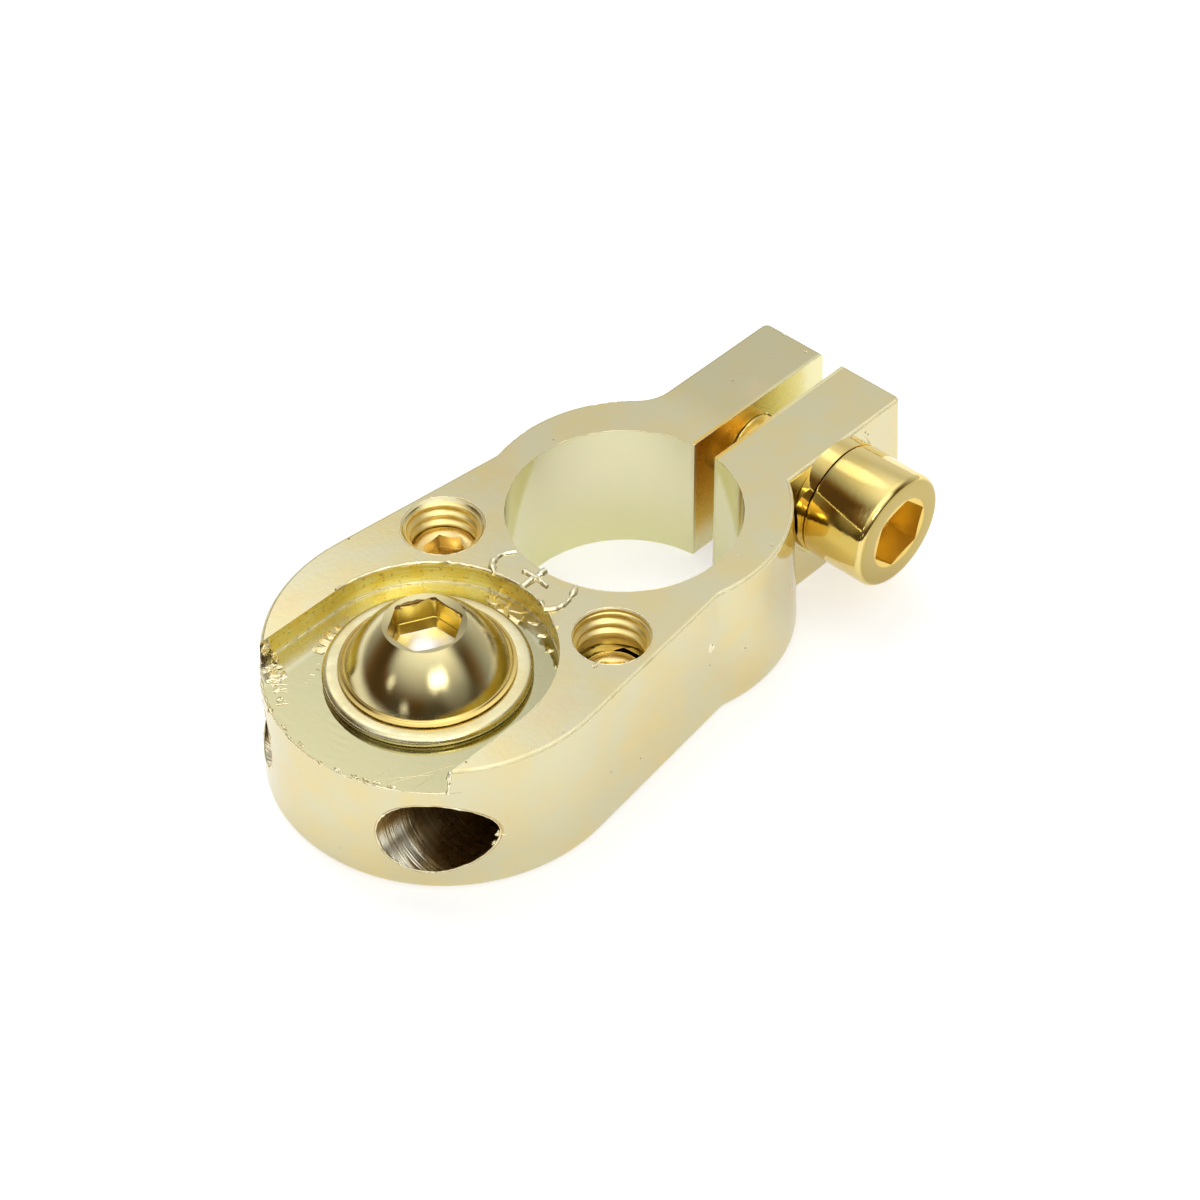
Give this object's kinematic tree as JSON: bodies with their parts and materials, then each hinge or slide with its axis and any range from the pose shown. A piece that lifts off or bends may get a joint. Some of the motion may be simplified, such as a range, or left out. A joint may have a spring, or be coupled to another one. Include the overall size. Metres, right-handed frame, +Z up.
{
  "type": "battery terminal clamp",
  "caption": "Cast clamp with a slotted ring for a battery post, two side cable bores with set screws, and a stud screw in a top pocket.",
  "frame": {"origin": "centre of the post bore in the bottom face", "axes": "+X along the slot to the ear tips, +Y away from the clamp screw's head, +Z up along the post bore"},
  "size_m": [0.0604, 0.0293, 0.0152],
  "materials": {
    "body_plate": "satin champagne-gold plating",
    "screw_plate": "glossy gold plating",
    "set_plate": "glossy gold plating",
    "stud_plate": "satin bronze plating, bright in the socket",
    "washer_plate": "pale gold plating"
  },
  "bodies": {
    "clamp_body": {"clamp_body": "body_plate"},
    "clamp_washer": {"clamp_washer": "screw_plate"},
    "clamp_screw": {"clamp_screw": "screw_plate"},
    "stud_washer": {"stud_washer": "washer_plate"},
    "stud_screw": {"stud_screw": "stud_plate"},
    "set_screw_left": {"set_screw_left": "set_plate"},
    "set_screw_right": {"set_screw_right": "set_plate"}
  },
  "joints": [
    {"name": "clamp_washer_slide", "type": "slide", "parent": "clamp_body", "child": "clamp_washer", "axis": [0, -1, 0], "range_m": [0, 0.005]},
    {"name": "clamp_screw_turn", "type": "hinge", "parent": "clamp_washer", "child": "clamp_screw", "pos_m": [0.0166, -0.00735, 0.0074], "axis": [0, -1, 0], "range_deg": [0, 1800]},
    {"name": "stud_washer_slide", "type": "slide", "parent": "clamp_body", "child": "stud_washer", "axis": [0, 0, 1], "range_m": [0, 0.0075]},
    {"name": "stud_screw_turn", "type": "hinge", "parent": "stud_washer", "child": "stud_screw", "pos_m": [-0.0219, -0.0002, 0.0109], "axis": [0, 0, 1], "range_deg": [0, 2160]},
    {"name": "set_screw_left_travel", "type": "slide", "parent": "clamp_body", "child": "set_screw_left", "axis": [0, 0, 1], "range_m": [-0.002, 0.006]},
    {"name": "set_screw_right_travel", "type": "slide", "parent": "clamp_body", "child": "set_screw_right", "axis": [0, 0, 1], "range_m": [0, 0.007]}
  ],
  "couplings": [
    {"joint": "clamp_screw_turn", "follows": "clamp_washer_slide", "rad_per_m": 6283},
    {"joint": "stud_screw_turn", "follows": "stud_washer_slide", "rad_per_m": 5026}
  ]
}
